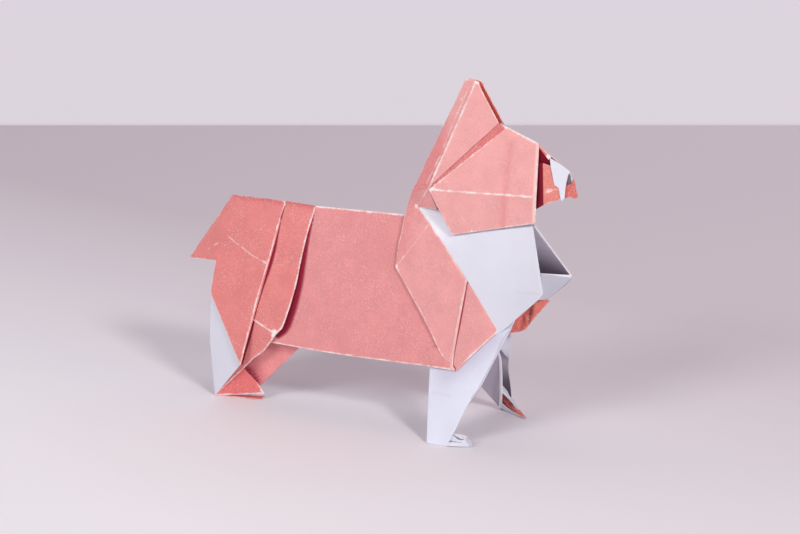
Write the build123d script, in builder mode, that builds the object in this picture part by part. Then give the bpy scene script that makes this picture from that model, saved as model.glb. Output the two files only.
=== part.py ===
from build123d import *
import os

os.makedirs("parts", exist_ok=True)

# Frame in millimetres: X runs towards the nose, Y towards the dog's left side, Z up from the table.
# Corners are written for the right side (negative Y). The left side is its mirror image.

# The sheet
PLY = 0.3  # thickness of one panel, two or more pressed layers of paper
FOLD_RADIUS = 0.19  # outer radius of a pressed fold

LENGTH = 90.0  # from the tip of the tail to the tip of the nose

# Heights above the table
TAIL_Z = 28.3
RUMP_Z = 43.0
PLEAT_Z = 42.7
SPINE_Z = 42.3
BELLY_Z = 13.6
NECK_Z = 46.9
EAR_Z = 70.1
EAR_SIDE_Z = 69.4
EAR_RISE = 7.5  # how far the side of the ear rises above the brow
BROW_Z = EAR_SIDE_Z - EAR_RISE
BAND_DROP = 1.0  # how far the band under the ear starts below the brow
FOREHEAD_Z = 58.6
CHEEK_Z = 48.6
CHEST_Z = 31.4

# Half widths, measured from the middle plane of the dog
BELLY_HALF = 5.7
STRIP_HALF = 6.5
HIP_HALF = 8.9
HEEL_HALF = 6.5
SHOULDER_HALF = 6.4
CHEST_HALF = 7.5
CHEEK_HALF = 3.5
MUZZLE_HALF = 1.9
EAR_HALF = 1.0
FRONT_HALF = 12.9

# How far the left legs stand from the mirror image of the right ones
LEFT_HIND_BACK = 6.0
LEFT_FRONT_AHEAD = 3.5
LEFT_FRONT_OUT = 1.5
LEFT_FRONT_NARROW = 1.8  # how much narrower the left front leg is
LEFT_CHEEK_BACK = 2.1  # how much further back the front edge of the left cheek is

# How far a panel lies under the one that covers it
STEP = 0.25

# Corners of the back and the tail
tail_tip = (-LENGTH / 2, 0, TAIL_Z)
rump_top = (-33.3, 0, RUMP_Z)
pleat_top = (-20.0, 0, PLEAT_Z)
strip_top = (-12.7, 0, SPINE_Z)
spine_front = (9.0, 0, SPINE_Z)

# Corners of the rump panel, its pleat and the strip that comes out from under it
pleat_low = (-26.4, -HIP_HALF, 8.8)
rump_back = (-35.9, -5.4, 22.4)
tail_notch = (-35.6, -3.6, 29.2)
pleat_valley = (-28.6, -5.9, 19.0)
strip_front = (-19.0, -STRIP_HALF, 15.7)
strip_back = (-24.9, -6.0, 18.1)
strip_pleat = (-28.1, -6.4, 7.9)
strip_valley = (-22.5, -BELLY_HALF, BELLY_Z)

# Corners of the hind leg
heel = (-34.8, -HEEL_HALF, 0)
reverse_top = (-36.3, -4.9, 22.2)
reverse_mid = (-36.6, -5.3, 11.9)
reverse_low = (-26.8, -8.3, 8.6)
foot_top = (-27.0, -5.6, 7.9)
foot_toe = (-23.5, -4.6, 1.3)
toe_outer = (-24.3, -4.9, 0)
toe_inner = (-24.6, -2.5, 0)
thigh_up = (-12.6, -3.2, 14.7)
thigh_low = (-25.5, -4.2, 2.4)
thigh_back = (-24.3, -3.6, 14.1)
thigh_hidden = (-28.1, -4.3, 0)

# Corners of the flank and the shoulder
belly_front = (21.9, -BELLY_HALF, BELLY_Z)
collar_corner = (7.5, -2.6, 32.1)
collar_low = (22.2, -SHOULDER_HALF, 13.6)
collar_top = (11.3, -0.8, 44.5)
collar_back = (8.3, -1.5, 39.1)
collar_base = (8.7, -1.0, SPINE_Z)
slit_top = (23.6, -3.7, 30.7)
shoulder_front = (31.2, -5.5, 22.3)

# Corners of the chest flap and the bib between the two flaps
chest_back = (13.0, -0.8, 44.1)
chest_top = (36.0, -0.5, 42.7)
chest_corner = (41.3, -CHEST_HALF, CHEST_Z)
chest_side = (36.7, -6.4, 26.8)
chest_tip = (31.8, -5.3, 22.2)
flap_tuck_low = (30.7, -5.3, 21.2)
flap_tuck_top = (11.9, -0.8, 43.1)
bib_middle = (37.8, 0, 33.3)
bib_low = (34.4, 0, 27.7)

# Corners of the front leg
leg_top = (16.8, -5.5, 13.2)
leg_back = (19.9, -FRONT_HALF, 0)
leg_hem = (24.0, -FRONT_HALF, 0)
leg_shin = (29.5, -8.6, 12.3)
leg_front = (34.0, -3.0, 25.0)
lining_front = (26.8, -4.5, 15.6)
paw_top = (25.1, -12.2, 3.0)
paw_toe = (28.9, -10.6, 0)
paw_inner = (24.6, -10.4, 0)

# Corners of the neck, the ear and the head
ear_tip = (21.2, 0, EAR_Z)
neck_back = (9.7, 0, NECK_Z)
ridge_tip = (24.0, -EAR_HALF, EAR_SIDE_Z)
ridge_low = (14.8, -2.7, CHEEK_Z)
ear_front_tip = (24.6, -EAR_HALF, EAR_SIDE_Z)
ear_front = (28.8, -EAR_HALF, BROW_Z)
valley_low = (15.7, -2.6, 49.6)
band_low = (16.3, -3.3, 49.3)
band_top = (29.8, -0.1, BROW_Z - BAND_DROP)
brow = (28.5, 0, BROW_Z)
forehead = (37.3, 0, FOREHEAD_Z)
cheek_back = (15.4, -CHEEK_HALF, CHEEK_Z)
cheek_front = (37.5, -MUZZLE_HALF, CHEEK_Z)
jaw_front = (37.1, -1.8, 43.2)
jaw_back = (20.3, -2.9, 40.1)
jaw_corner = (17.2, -3.3, 45.2)
throat = (17.1, -2.3, 43.9)

# Corners of the muzzle
muzzle_top = (39.0, 0, 56.5)
muzzle_tip = (43.2, 0, 53.6)
muzzle_low = (42.0, -1.3, 48.5)
muzzle_jaw = (37.7, -2.0, 46.3)
muzzle_back = (35.0, -1.4, 50.0)
muzzle_gap = (37.6, -0.5, 55.0)
nose_top = (44.1, 0, 52.4)
nose_tip = (LENGTH / 2, 0, 49.1)
nose_low = (42.5, -0.6, 48.9)


def mirrored(point):
    """The same corner on the left side."""
    return (point[0], -point[1], point[2])


def left_hind(point):
    """The left hind leg hangs from the rump and slants further back towards its foot."""
    slant = LEFT_HIND_BACK * (RUMP_Z - point[2]) / RUMP_Z
    return (point[0] - slant, -point[1], point[2])


def left_front(point):
    """The left front leg hangs from the belly and slants forward and outward towards its foot."""
    drop = (leg_top[2] - point[2]) / leg_top[2]
    return (point[0] + LEFT_FRONT_AHEAD * drop, LEFT_FRONT_OUT * drop - point[1], point[2])


def shortened(point, amount):
    """The same corner moved back."""
    return (point[0] - amount, point[1], point[2])


def under(corners):
    """The same outline moved towards the middle plane, for a panel that lies under another."""
    return [(x, y + STEP, z) for x, y, z in corners]


def lay_flat(corners):
    """The plane of one panel and its outline on that plane.

    The first three corners set the plane, and the others slide along Y onto it.
    """
    first, second, third = (Vector(*corner) for corner in corners[:3])
    normal = (second - first).cross(third - first).normalized()
    outline = [first, second, third]
    for x, y, z in corners[3:]:
        rise = (x - first.X) * normal.X + (z - first.Z) * normal.Z
        outline.append(Vector(x, first.Y - rise / normal.Y, z))
    plane = Plane(origin=first, x_dir=second - first, z_dir=normal)
    return plane, [plane.to_local_coords(corner) for corner in outline]


ON_START = (Align.CENTER, Align.CENTER, Align.MIN)  # a rod that starts at its own origin

# Panels of the body, the same on both sides
tail_panel = [rump_top, tail_notch, tail_tip]
flank_panel = [strip_top, spine_front, belly_front, strip_valley]
collar_panel = [collar_corner, collar_low, slit_top, collar_top, collar_base, collar_back]
shoulder_panel = under([slit_top, shoulder_front, collar_low])
flap_panel = [chest_back, chest_top, chest_tip, flap_tuck_low, flap_tuck_top]
flap_front_panel = [chest_tip, chest_top, chest_corner, chest_side]
bib_panel = [chest_corner, bib_middle, bib_low, chest_side]
body_panels = [
    flank_panel,
    collar_panel,
    shoulder_panel,
    flap_panel,
    flap_front_panel,
    bib_panel,
]

# Panels of the head
ear_back_panel = [ear_tip, ridge_tip, ridge_low]
neck_panel = [ear_tip, ridge_low, neck_back]
nape_panel = [neck_back, ridge_low, collar_top, collar_base]
throat_panel = [ridge_low, throat, collar_top]
ear_panel = [ridge_tip, ridge_low, ear_front, ear_front_tip]
band_panel = [valley_low, ear_front, band_top, band_low]
upper_cheek = [brow, forehead, cheek_front, cheek_back]
lower_cheek = [cheek_back, cheek_front, jaw_front, jaw_back, jaw_corner]
left_cheek_front = shortened(cheek_front, LEFT_CHEEK_BACK)
left_jaw_front = shortened(jaw_front, LEFT_CHEEK_BACK)
left_upper_cheek = [brow, forehead, left_cheek_front, cheek_back]
left_lower_cheek = [cheek_back, left_cheek_front, left_jaw_front, jaw_back, jaw_corner]
muzzle_panel = [muzzle_top, muzzle_tip, muzzle_low, muzzle_jaw, muzzle_back, muzzle_gap]
nose_panel = [nose_top, nose_tip, nose_low]
bridge_panel = [forehead, muzzle_top, muzzle_gap, muzzle_back]  # on the left only; the right has a slit
head_panels = [
    ear_back_panel,
    neck_panel,
    nape_panel,
    throat_panel,
    ear_panel,
    band_panel,
    muzzle_panel,
    nose_panel,
]

# Panels of the hind leg
thigh_panel = [thigh_back, thigh_up, thigh_low, thigh_hidden]
rump_panel = [rump_top, pleat_top, pleat_low, rump_back, tail_notch]
pleat_return = [pleat_top, pleat_low, pleat_valley]
strip_panel = [pleat_top, strip_top, strip_front, strip_back, pleat_valley]
strip_return = [strip_top, strip_front, strip_valley]
shin_panel = [strip_back, strip_front, heel, strip_pleat]
reverse_panel = [reverse_top, reverse_low, heel, reverse_mid]
foot_panel = [heel, foot_toe, foot_top]
sole_panel = [heel, toe_outer, toe_inner]
hind_panels = [
    rump_panel,
    pleat_return,
    strip_panel,
    strip_return,
    shin_panel,
    reverse_panel,
    foot_panel,
    sole_panel,
    thigh_panel,
]

# Panels of the front leg
leg_panel = [leg_back, leg_top, leg_front, leg_shin, leg_hem]
leg_lining = [leg_back, leg_top, lining_front]
paw_panel = [leg_hem, paw_toe, paw_top]
paw_lining = [paw_inner, paw_toe, paw_top]
left_hem, left_shin, left_paw_top, left_paw_toe, left_paw_inner = (
    shortened(corner, LEFT_FRONT_NARROW) for corner in (leg_hem, leg_shin, paw_top, paw_toe, paw_inner)
)
left_leg_panel = [leg_back, leg_top, leg_front, left_shin, left_hem]
left_paw_panel = [left_hem, left_paw_toe, left_paw_top]
left_paw_lining = [left_paw_inner, left_paw_toe, left_paw_top]

# Both sides together
panels = [tail_panel, [rump_top, left_hind(tail_notch), tail_tip]]
panels += [upper_cheek, lower_cheek, leg_panel, leg_lining, paw_panel, paw_lining]
for panel in body_panels + head_panels:
    panels += [panel, [mirrored(corner) for corner in panel]]
for panel in hind_panels:
    panels += [panel, [left_hind(corner) for corner in panel]]
for panel in left_upper_cheek, left_lower_cheek, bridge_panel:
    panels.append([mirrored(corner) for corner in panel])
for panel in left_leg_panel, leg_lining, left_paw_panel, left_paw_lining:
    panels.append([left_front(corner) for corner in panel])

# Sharp folds, each between two corners
body_folds = [
    (strip_valley, belly_front),
    (chest_back, chest_top),
    (chest_tip, chest_corner),
    (chest_corner, bib_middle),
    (chest_top, chest_corner),
    (ridge_tip, ridge_low),
    (ear_tip, ridge_tip),
    (muzzle_low, nose_low),
]
middle_folds = [
    (tail_tip, rump_top),
    (rump_top, pleat_top),
    (pleat_top, strip_top),
    (strip_top, spine_front),
    (ear_tip, neck_back),
    (brow, forehead),
    (muzzle_top, muzzle_tip),
    (muzzle_tip, nose_top),
]
hind_folds = [
    (pleat_top, pleat_low),
    (strip_top, strip_front),
    (strip_front, heel),
    (foot_toe, toe_outer),
    (foot_toe, toe_inner),
    (toe_outer, toe_inner),
]
right_folds = [(cheek_back, cheek_front), (leg_back, leg_top), (paw_toe, paw_top)]
left_folds = [
    (mirrored(cheek_back), mirrored(left_cheek_front)),
    (left_front(leg_back), left_front(leg_top)),
    (left_front(left_paw_toe), left_front(left_paw_top)),
]
folds = middle_folds + right_folds + left_folds
for start, end in body_folds:
    folds += [(start, end), (mirrored(start), mirrored(end))]
for start, end in hind_folds:
    folds += [(start, end), (left_hind(start), left_hind(end))]

with BuildPart() as folded_sheet:
    for panel in panels:
        plane, outline = lay_flat(panel)
        with BuildSketch(plane):
            with BuildLine():
                Polyline(*outline, close=True)
            make_face()
    extrude(amount=PLY / 2, both=True)
    rounds = []
    for start, end in folds:
        along = Vector(*end) - Vector(*start)
        with Locations(Plane(origin=start, z_dir=along)):
            rounds.append(Cylinder(FOLD_RADIUS, along.length, align=ON_START, mode=Mode.PRIVATE))
    add(rounds)

    # Flat soles on the table
    with Locations((0, 0, -PLY)):
        Box(2 * LENGTH, LENGTH, 2 * PLY, mode=Mode.SUBTRACT)

# The origin is the middle of the bounding box, on the table
box = folded_sheet.part.bounding_box()
centre = box.center()
folded_sheet.part = folded_sheet.part.moved(Location((-centre.X, -centre.Y, -box.min.Z)))
folded_sheet.part.label = "folded_sheet"
export_step(folded_sheet.part, "parts/folded_sheet.step")
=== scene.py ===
import math
import bpy
import numpy as np
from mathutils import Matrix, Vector, noise
from mathutils.geometry import delaunay_2d_cdt


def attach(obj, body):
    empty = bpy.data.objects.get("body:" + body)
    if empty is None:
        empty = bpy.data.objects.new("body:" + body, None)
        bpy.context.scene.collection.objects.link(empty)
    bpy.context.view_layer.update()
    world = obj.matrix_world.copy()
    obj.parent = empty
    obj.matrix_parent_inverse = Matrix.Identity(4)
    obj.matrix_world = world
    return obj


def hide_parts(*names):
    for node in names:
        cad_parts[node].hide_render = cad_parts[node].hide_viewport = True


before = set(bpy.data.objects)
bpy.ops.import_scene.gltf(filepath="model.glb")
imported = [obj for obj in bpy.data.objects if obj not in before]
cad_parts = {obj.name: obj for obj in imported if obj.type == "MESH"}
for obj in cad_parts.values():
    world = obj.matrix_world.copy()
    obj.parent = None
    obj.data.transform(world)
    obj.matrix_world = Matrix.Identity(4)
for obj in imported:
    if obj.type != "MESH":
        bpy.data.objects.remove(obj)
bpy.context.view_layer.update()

# Corners are in millimetres from the middle plane of the dog, the right side at negative Y.
# SHIFT takes them to the frame, whose origin is the middle of the bounding box.
SHIFT = np.array((0.0572, -0.5630, 0.0))
TO_METRES = 0.001

# Paper, in millimetres
PLY = 0.28  # two or more pressed layers, unless a panel says otherwise
THIN = 0.18  # one layer
WAVE = 0.07  # swell of a panel
BROAD_SWELL, SHORT_SWELL = 9.0, 3.5  # from one swell to the next
SHORT_SWELL_SHARE = 0.5
SHORT_SWELL_PLACE = Vector((7, 3, 1))  # where its noise starts
SWELL_FADE = 3.0  # from the outline to where a panel swells in full
CREASE_WIDTH = 0.45
CREASE_FADE = 0.5  # from the outline to where a crease is at full depth
WEAR_DROP = 0.3  # how much narrower the faintest wear is than the strongest
GAP_SHADE_CORE = 0.5  # share of a gap's width that is fully dark
FAR = 9.0  # a distance from wear and gaps at which neither shows

# Net of a panel
STEP = 0.5  # spacing of the vertices
ROW_SPACING = 0.866  # between the rows of a hexagonal grid, in steps
LINE_MARGIN = 0.3  # least distance from a line's vertices to the outline, in steps
GRID_MARGIN = 0.6  # least distance from the grid's vertices to the others, in steps
CURVE_POINTS = 12  # between two given points of a curve
RIM = (60, 30, 0, -30, -60)  # degrees round a panel's edge
SHARP = math.radians(50)  # a bend that is shaded as an edge
ASKEW = (0.31, 0.17, 0.94)  # a direction in which no panel faces
TINY, SMALL = 1e-12, 1e-9  # keep divisors from zero
MERGED = 1e-6  # vertices closer than this become one

# How the left side differs from the right one
RUMP_Z = 43.0
HIND_BACK = 6.0
STRIP_X = -12.0
BROW_X, CHEEK_X = 28.5, 37.15
CHEEK_OUT = 1.9
CHEEK_BACK = 1.9

RIGHT = (0, -1, 0)
LEFT = (0, 1, 0)
DOWN = (0, 0, -1)


def linear(r, g, b):
    """An sRGB colour from 0 to 255 as linear light."""
    return tuple(((c / 255 + 0.055) / 1.055) ** 2.4 if c > 10 else c / 255 / 12.92 for c in (r, g, b))


# Printed face of the paper. Its tints differ from panel to panel partly as painted light and shade.
PINK = linear(231, 149, 149)
ROSE = linear(229, 134, 131)
# Painted shade along the rounded tops of the rump and the strip
RIDGE_SHADE = linear(206, 98, 100)
# Painted lighter, as painted light where the strip shades the thigh
THIGH = linear(241, 148, 148)
FOOT = linear(233, 117, 116)
COLLAR = linear(237, 163, 161)
SLIT_HEM = linear(246, 191, 186)
# Painted brighter than its shade, as painted light, on the tucked layer and in the far toe
TUCK = linear(247, 134, 117)
RED = linear(228, 108, 95)
# Painted lighter, as painted light on the back of the ear, which gets little light
EAR_BACK = linear(237, 144, 144)
LIGHT = linear(240, 171, 168)
# Darker than ROSE, as painted shade on the band in the valley between ear and cheek
BAND = linear(223, 125, 124)
HEM = linear(248, 205, 200)
MUZZLE = linear(227, 132, 122)
NOSE = linear(216, 110, 103)
# Painted shade only: where the thigh meets the foot, in pockets and folds, inside the muzzle, and cast by
# the cheek on the muzzle
THIGH_SHADE = linear(168, 36, 74)
POCKET_SHADE = linear(118, 10, 24)
DEEP_SHADE = linear(140, 2, 38)

# White face of the paper, from bright to deep shade
RIM_WHITE = linear(250, 249, 253)
PALE = linear(248, 247, 255)
LEG_WHITE = linear(233, 237, 252)
WHITE = linear(227, 228, 239)
GREY = linear(217, 213, 227)
BIB = linear(212, 214, 225)
LEG_BAND = linear(211, 207, 222)
LILAC = linear(203, 198, 217)
SHADED = linear(192, 184, 197)
DUSK = linear(184, 175, 190)
STEEL = linear(128, 124, 134)
DIM = linear(92, 81, 98)

# Core at a cut, fibres, painted shade in narrow openings, and wear
CORE = linear(243, 222, 224)
FIBRE = linear(250, 208, 206)
SPECK = linear(205, 100, 106)
WHITE_GAP_SHADE = linear(120, 110, 130)
PRINT_GAP_SHADE = linear(144, 0, 46)
RUBBED = linear(248, 200, 194)
WORN = linear(252, 240, 240)


def same(p):
    """The corner itself."""
    return p


def mirrored(p):
    """The same corner on the left side."""
    return (p[0], -p[1], p[2])


def left_hind(p):
    """The left hind leg slants further back towards its foot."""
    return (p[0] - HIND_BACK * (RUMP_Z - p[2]) / RUMP_Z, -p[1], p[2])


def left_rump(p):
    """The left rump follows the hind leg, but the tip of the tail is shared."""
    return p if p is tail_tip else left_hind(p)


def left_flank(p):
    """The left flank ends under the left strip, which lies further back than the right one."""
    return left_hind(p) if p[0] < STRIP_X else mirrored(p)


def far_cheek(p):
    """The left cheek's front edge lies a little further back, hidden behind the right one."""
    reach = min(max((p[0] - BROW_X) / (CHEEK_X - BROW_X), 0), 1) * min(-p[1] / CHEEK_OUT, 1)
    return (p[0] - CHEEK_BACK * reach, -p[1], p[2])


def unworn(*corners):
    """An outline of which no side shows wear."""
    return [(corner, 0) for corner in corners]


def resample(points, step):
    """Points along a smooth curve through the given points, without its end."""
    points = [np.array(p, float) for p in points]
    if len(points) > 2:
        ends = [2 * points[0] - points[1], *points, 2 * points[-1] - points[-2]]
        fine = []
        for a, b, c, d in zip(ends, ends[1:], ends[2:], ends[3:]):
            for t in np.linspace(0, 1, CURVE_POINTS, endpoint=False):
                square = (2 * a - 5 * b + 4 * c - d) * t**2
                cube = (3 * b - a - 3 * c + d) * t**3
                fine.append(0.5 * (2 * b + (c - a) * t + square + cube))
        points = [*fine, points[-1]]
    points = np.array(points)
    run = np.concatenate(([0], np.cumsum(np.linalg.norm(np.diff(points, axis=0), axis=1))))
    count = max(2, int(round(run[-1] / step)))
    at = np.linspace(0, run[-1], count, endpoint=False)
    return np.stack([np.interp(at, run, points[:, k]) for k in range(3)], axis=1)


def segment_distance(p, a, b):
    """Distances of points p (n, 2) from segments a to b (m, 2), as (n, m)."""
    ab = b - a
    ap = p[:, None] - a[None]
    t = np.clip((ap * ab).sum(2) / np.maximum((ab * ab).sum(1), TINY), 0, 1)
    return np.linalg.norm(ap - t[..., None] * ab, axis=2)


def side_distance(p, loop):
    """Distances of points p (n, 2) from each side of a loop (m, 2), as (n, m)."""
    return segment_distance(p, loop, np.roll(loop, -1, axis=0))


def path_distance(p, path):
    """Distances of points p (n, 2) from a path (m, 2), as (n)."""
    return segment_distance(p, path[:-1], path[1:]).min(1)


def inside(p, loop):
    """Which points p (n, 2) lie inside the loop (m, 2)."""
    a, b = loop, np.roll(loop, -1, axis=0)
    x, y = p[:, :1], p[:, 1:]
    crosses = (a[:, 1] > y) != (b[:, 1] > y)
    rise = np.where(np.abs(b[:, 1] - a[:, 1]) < TINY, TINY, b[:, 1] - a[:, 1])
    at = a[:, 0] + (y - a[:, 1]) * (b[:, 0] - a[:, 0]) / rise
    return (crosses & (x < at)).sum(1) % 2 == 1


def spread(p, loop, values):
    """Mean value coordinates: values given round the loop, carried smoothly to the points inside."""
    d = loop[None] - p[:, None]
    r = np.maximum(np.linalg.norm(d, axis=2), SMALL)
    e = np.roll(d, -1, axis=1)
    re = np.roll(r, -1, axis=1)
    cross = d[..., 0] * e[..., 1] - d[..., 1] * e[..., 0]
    dot = (d * e).sum(2)
    half = cross / np.where(np.abs(r * re + dot) < TINY, TINY, r * re + dot)
    w = (half + np.roll(half, 1, axis=1)) / r
    return (w @ values) / w.sum(1)


def swell(place):
    """The slow rise and fall of the paper at a place."""
    q = Vector(place)
    short = noise.noise(q / SHORT_SWELL + SHORT_SWELL_PLACE)
    return noise.noise(q / BROAD_SWELL) + SHORT_SWELL_SHARE * short


def outline(sides, move, step):
    """Points round a panel, with the wear at each and whether the edge is cut there."""
    loop, wear, cut = [], [], []
    for (start, worn, *via), (end, *_) in zip(sides, [*sides[1:], sides[0]]):
        path = resample([move(q) for q in (start, *via, end)], step)
        loop.append(path)
        wear += [abs(worn)] * len(path)
        cut += [worn < 0] * len(path)
    return np.concatenate(loop), np.array(wear), np.array(cut)


class Plane:
    """The plane that fits a loop of points, seen from the side that out names."""

    def __init__(self, loop, out):
        self.centre = loop.mean(0)
        after = np.roll(loop, -1, axis=0)
        normal = np.cross(loop - self.centre, after - self.centre).sum(0)
        normal /= np.linalg.norm(normal)
        self.turned = normal @ np.array(out) < 0
        self.normal = -normal if self.turned else normal
        self.u = np.cross(ASKEW, self.normal)
        self.u /= np.linalg.norm(self.u)
        self.v = np.cross(self.normal, self.u)

    def flat(self, points):
        """Where a point or points lie on the plane."""
        points = np.array(points) - self.centre
        return np.stack([points @ self.u, points @ self.v], axis=-1)

    def line(self, points, step):
        """A line through the points, laid on the plane, as closely spaced points."""
        path = np.array([self.flat(q) for q in points])
        fine = resample(np.c_[path, np.zeros(len(path))], step)[:, :2]
        return np.concatenate([fine, path[-1:]])


def hexagonal_grid(flat, others, step):
    """Grid points inside the outline, clear of it and of the other vertices."""
    low, high = flat.min(0), flat.max(0)
    rows = np.arange(low[1], high[1], step * ROW_SPACING)
    columns = np.arange(low[0], high[0], step)
    grid = np.array([(x + (k % 2) * step / 2, y) for k, y in enumerate(rows) for x in columns])
    grid = grid[inside(grid, flat)]
    if len(grid):
        grid = grid[side_distance(grid, flat).min(1) > GRID_MARGIN * step]
    if len(grid) and len(others):
        apart = np.linalg.norm(grid[:, None] - np.array(others)[None], axis=2)
        grid = grid[apart.min(1) > GRID_MARGIN * step]
    return grid


def triangulate(flat, lines, step):
    """Vertices and triangles inside the outline, with vertices along the lines.

    The third value gives the vertex at each point of the outline.
    """
    points = list(flat)
    links = [(i, (i + 1) % len(flat)) for i in range(len(flat))]
    for path in lines:
        clear = inside(path, flat) & (side_distance(path, flat).min(1) > LINE_MARGIN * step)
        last = None
        for q, kept in zip(path, clear):
            if kept:
                points.append(q)
                if last is not None:
                    links.append((last, len(points) - 1))
                last = len(points) - 1
            else:
                last = None
    points += list(hexagonal_grid(flat, points[len(flat):], step))
    found, _, tris, origin, _, _ = delaunay_2d_cdt([Vector(q) for q in points], links, [], 1, MERGED)
    rim = np.full(len(flat), -1)
    for k, came in enumerate(origin):
        for i in came:
            if i < len(flat):
                rim[i] = k
    return np.array([tuple(q) for q in found]), np.array([list(t) for t in tris]), rim


def upright(place, tris, normal):
    """Turns the triangles to face along the normal, and gives the normal at each vertex."""
    face = np.cross(place[tris[:, 1]] - place[tris[:, 0]], place[tris[:, 2]] - place[tris[:, 0]])
    turned = face @ normal < 0
    tris[turned] = tris[turned][:, ::-1]
    face[turned] = -face[turned]
    up = np.zeros_like(place)
    for k in range(3):
        np.add.at(up, tris[:, k], face)
    return up / np.maximum(np.linalg.norm(up, axis=1), TINY)[:, None]


def edge_rings(edge, up, thick):
    """Rings of points round the edge of a panel, from its top to its bottom."""
    along = np.roll(edge, -1, axis=0) - np.roll(edge, 1, axis=0)
    side = np.cross(along, up)
    side /= np.maximum(np.linalg.norm(side, axis=1), TINY)[:, None]
    for angle in RIM:
        turn = math.radians(angle)
        yield edge + thick / 2 * (math.cos(turn) * side + math.sin(turn) * up)


class Piece:
    """Gathers panels of paper into one mesh."""

    def __init__(self, name):
        self.name = name
        self.verts, self.faces, self.tints, self.wears, self.gaps = [], [], [], [], []
        self.count = 0

    def panel(
        self, sides, outer, inner, thick=PLY, out=RIGHT, move=same, creases=(), blobs=(), gaps=(), tones=(),
        wave=WAVE, step=STEP, fleck=1.0, lift=0.0,
    ):
        """One panel of folded paper.

        sides: (start, wear, via points) for each side, wear from 0 to 1 and negative for a cut edge.
        creases: (points, wear, depth) in the panel. blobs: (point, radius) where the colour is worn off.
        gaps: (points, widths, strength) where painted shade darkens the narrow opening beside a
        neighbour's edge, the widths spaced evenly along it.
        tones: (points, width, colour, strength) where the outer face softly takes another colour, mostly
        painted shade, some painted light.
        wave: how far it swells. fleck: how much the outer face shows the grain of the print.
        lift: how far the whole panel lies above its outline.
        """
        loop, wear, cut = outline(sides, move, step)
        plane = Plane(loop, out)
        if plane.turned:
            loop = loop[::-1]
            wear = np.roll(wear[::-1], -1)
            cut = np.roll(cut[::-1], -1)
        flat = plane.flat(loop)

        def lines(drawn):
            return [plane.line([move(q) for q in points], step) for points, *_ in drawn]

        crease_lines, gap_shade_lines, tone_lines = lines(creases), lines(gaps), lines(tones)
        spot, tris, rim = triangulate(flat, [*crease_lines, *gap_shade_lines, *tone_lines], step)
        to_side = side_distance(spot, flat)
        shore = to_side.min(1)

        # Heights above the plane: the outline's, swollen between, pressed in at the creases
        h = np.zeros(len(spot))
        free = np.ones(len(spot), bool)
        free[rim] = False
        height = (loop - plane.centre) @ plane.normal
        h[free] = spread(spot[free], flat, height)
        h[rim] = height
        place = plane.centre + spot[:, :1] * plane.u + spot[:, 1:] * plane.v
        inward = np.clip(shore / SWELL_FADE, 0, 1)
        fade = inward**2 * (3 - 2 * inward)
        h += wave * fade * [swell(q) for q in place]
        for path, (_, _, depth) in zip(crease_lines, creases):
            press = np.exp(-((path_distance(spot, path) / CREASE_WIDTH) ** 2))
            h -= depth * press * np.clip(shore / CREASE_FADE, 0, 1)
        place = place + (h + lift)[:, None] * plane.normal

        # Distances from the worn sides, creases and spots
        reach = np.full(len(spot), FAR)
        worn_side = wear > 0
        if worn_side.any():
            reach = np.minimum(reach, (to_side[:, worn_side] + (1 - wear[worn_side]) * WEAR_DROP).min(1))
        for path, (_, worn, _) in zip(crease_lines, creases):
            if worn > 0:
                reach = np.minimum(reach, path_distance(spot, path) + (1 - worn) * WEAR_DROP)
        for q, radius in blobs:
            reach = np.minimum(reach, np.linalg.norm(spot - plane.flat(move(q)), axis=1) - radius)

        # Distances from the lines of painted shade in narrow openings, in their widths
        dark = np.full(len(spot), FAR)
        for path, (_, widths, strength) in zip(gap_shade_lines, gaps):
            width = np.interp(np.linspace(0, 1, len(path) - 1), np.linspace(0, 1, len(widths)), widths)
            near = (segment_distance(spot, path[:-1], path[1:]) / width).min(1)
            dark = np.minimum(dark, np.maximum(near, 1 - (1 - GAP_SHADE_CORE) * strength))

        # Colour of the outer face, with the tones, mostly painted shade and some painted light, laid over
        # it
        tint = np.tile((*outer, fleck), (len(spot), 1))
        for path, (_, width, colour, strength) in zip(tone_lines, tones):
            share = strength * np.exp(-((path_distance(spot, path) / width) ** 2))[:, None]
            tint[:, :3] = tint[:, :3] * (1 - share) + np.array(colour) * share

        # Outer and inner face
        up = upright(place, tris, plane.normal)
        top = self.add(place + up * thick / 2, tint, reach, dark)
        inner_tint = np.tile((*inner, 0.0), (len(spot), 1))
        bottom = self.add(place - up * thick / 2, inner_tint, reach + FAR, np.full(len(spot), FAR))
        self.faces += (tris + top).tolist() + (tris[:, ::-1] + bottom).tolist()

        # The rounded edge, with the core of the paper at a cut
        edge_tint = tint[rim]
        edge_tint[cut] = (*CORE, 0)
        edge_wear = np.where(cut, FAR, reach[rim])
        rings = [rim + top]
        for ring in edge_rings(place[rim], up[rim], thick):
            first = self.add(ring, edge_tint, edge_wear, dark[rim])
            rings.append(np.arange(first, first + len(rim)))
        rings.append(rim + bottom)
        for one, two in zip(rings, rings[1:]):
            for k in range(len(rim)):
                m = (k + 1) % len(rim)
                self.faces.append([int(one[k]), int(two[k]), int(two[m]), int(one[m])])

    def add(self, verts, tint, wear, gap):
        """Adds vertices and gives the number of the first."""
        first = self.count
        self.verts.append(verts)
        self.tints.append(tint)
        self.wears.append(wear)
        self.gaps.append(gap)
        self.count += len(verts)
        return first

    def both(self, sides, outer, inner, move=mirrored, out=RIGHT, **more):
        """The same panel on the right and on the left."""
        self.panel(sides, outer, inner, out=out, **more)
        self.panel(sides, outer, inner, move=move, out=mirrored(out), **more)

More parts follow.
